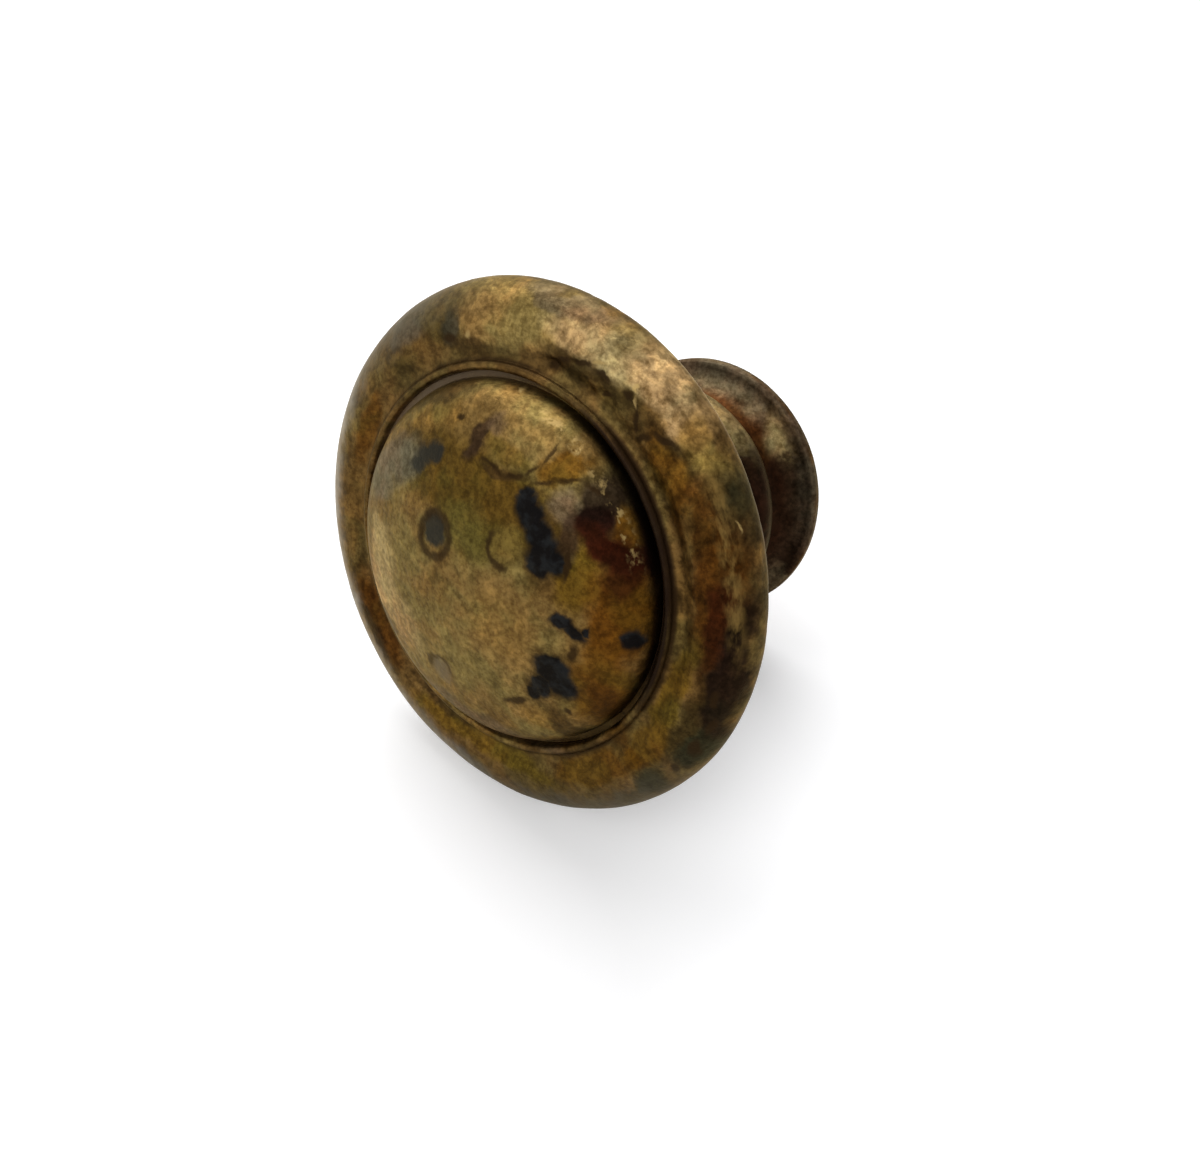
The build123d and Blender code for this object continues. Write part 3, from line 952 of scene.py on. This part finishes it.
# Lamps: place in millimetres in the camera's own directions (right, up, towards the camera), seen
# from the knob, with the side of the square lamp and its power in watts
lamps = {
    "topSoftbox": ((-60, 420, 45), 380, 1.75),
    "frontFill": ((-260, 60, 380), 300, 0.5),
}

photoCamera = {
    "place": (33.31, -66.344, 31.156),
    "azimuth": 30.996,        # turned round z from looking along +y
    "elevation": 29.319,
    "roll": 14.098,
    "lens": 32.951,           # for a 36 mm sensor width
}


# Looking along +y, raised to the elevation, turned round z and then rolled.
def cameraTurn():
    azimuth = math.radians(photoCamera["azimuth"])
    elevation = math.radians(photoCamera["elevation"])
    back = Vector((math.sin(azimuth) * math.cos(elevation),
                   -math.cos(azimuth) * math.cos(elevation), math.sin(elevation)))
    level = back.to_track_quat("Z", "Y").to_matrix()
    return level @ Matrix.Rotation(math.radians(photoCamera["roll"]), 3, "Z")


# White cloth with a glow that only the camera sees, plain white far from the knob, and clear from
# below.
def tableMaterial():
    material, b = newMaterial("whiteTable")
    rays = b.add("ShaderNodeLightPath", out="Is Camera Ray")
    cloth = b.add("ShaderNodeBsdfDiffuse", None, {"Color": studio["tableColour"]})
    glow = b.add("ShaderNodeEmission", None,
                 {"Color": (1, 1, 1, 1), "Strength": studio["tableGlow"]})
    brighter = b.add("ShaderNodeAddShader", None, {0: cloth, 1: glow})
    lit = b.add("ShaderNodeMixShader", None, {0: rays, 1: cloth, 2: brighter})
    clear = b.add("ShaderNodeBsdfTransparent")
    fromBelow = b.add("ShaderNodeNewGeometry", out="Backfacing")
    away = b.add("ShaderNodeVectorMath", {"operation": "LENGTH"},
                 {0: b.add("ShaderNodeTexCoord", out="Object")}, "Value")
    white = b.add("ShaderNodeEmission", None,
                  {"Color": (1, 1, 1, 1), "Strength": studio["seenLight"]})
    faded = b.add("ShaderNodeMixShader", None,
                  {0: rays * away.step(*studio["tableFade"]), 1: lit, 2: white})
    b.finish(b.add("ShaderNodeMixShader", None, {0: fromBelow, 1: faded, 2: clear}))
    return material


# One large square round the point that lies tableDrop below the middle of the mounting face, along
# the table's own upward direction.
def makeTable():
    tilt = math.radians(studio["tableTilt"])
    up = Vector((0, -math.sin(tilt), math.cos(tilt)))
    across, away = Vector((1, 0, 0)), Vector((0, math.cos(tilt), math.sin(tilt)))
    half = studio["tableSize"] / 2
    corners = [(-up * studio["tableDrop"] + across * i * half + away * j * half) * millimetre
               for i, j in ((-1, -1), (1, -1), (1, 1), (-1, 1))]
    mesh = bpy.data.meshes.new("whiteTable")
    mesh.from_pydata(corners, [], [(0, 1, 2, 3)])
    mesh.materials.append(tableMaterial())
    table = bpy.data.objects.new("whiteTable", mesh)
    bpy.context.scene.collection.objects.link(table)
    return table


# The camera sees plain white past the table; the metal mirrors a bright room, and the room's own
# light is lower, so that the lamps still throw a shadow.
def makeWorld():
    world = bpy.data.worlds.new("studio")
    bpy.context.scene.world = world
    world.use_nodes = True
    b = Bench(world.node_tree)

    def sky(strength):
        return b.add("ShaderNodeBackground", None, {"Color": (1, 1, 1, 1), "Strength": strength})

    mirrored = b.add("ShaderNodeLightPath", out="Is Glossy Ray").most(
        b.add("ShaderNodeLightPath", out="Is Transmission Ray"))
    room = b.add("ShaderNodeMixShader", None,
                 {0: mirrored, 1: sky(studio["worldLight"]), 2: sky(studio["mirroredLight"])})
    seen = b.add("ShaderNodeLightPath", out="Is Camera Ray")
    b.finish(b.add("ShaderNodeMixShader", None, {0: seen, 1: room, 2: sky(studio["seenLight"])}),
             "ShaderNodeOutputWorld")


# Each lamp stands at its place in the camera's directions and faces the knob's middle.
def makeLamps():
    turn = cameraTurn()
    middle = Vector((0, -0.5 * knobSizes["projection"], 0))
    for name, (seenFrom, side, power) in lamps.items():
        lamp = bpy.data.lights.new(name, "AREA")
        lamp.shape, lamp.size, lamp.energy = "SQUARE", side * millimetre, power
        away = turn @ Vector(seenFrom)
        holder = bpy.data.objects.new(name, lamp)
        holder.location = (middle + away) * millimetre
        holder.rotation_mode = "QUATERNION"
        holder.rotation_quaternion = away.to_track_quat("Z", "Y")
        bpy.context.scene.collection.objects.link(holder)


def makeCamera():
    camera = bpy.data.cameras.new("photoCamera")
    camera.lens, camera.sensor_width = photoCamera["lens"], 36.0
    camera.clip_start, camera.clip_end = 0.001, 10.0
    holder = bpy.data.objects.new("photoCamera", camera)
    moved = Matrix.Translation(Vector(photoCamera["place"]) * millimetre)
    holder.matrix_world = moved @ cameraTurn().to_4x4()
    bpy.context.scene.collection.objects.link(holder)
    bpy.context.scene.camera = holder


bpy.context.scene.view_settings.view_transform = "Standard"
knobPiece = knobMesh()
knobPiece.data.materials.append(brassMaterial())
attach(knobPiece, "root")
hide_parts("knob")
print("knob made,", len(knobPiece.data.polygons), "faces")

makeTable()
makeWorld()
makeLamps()
makeCamera()
print("table, light and camera placed")
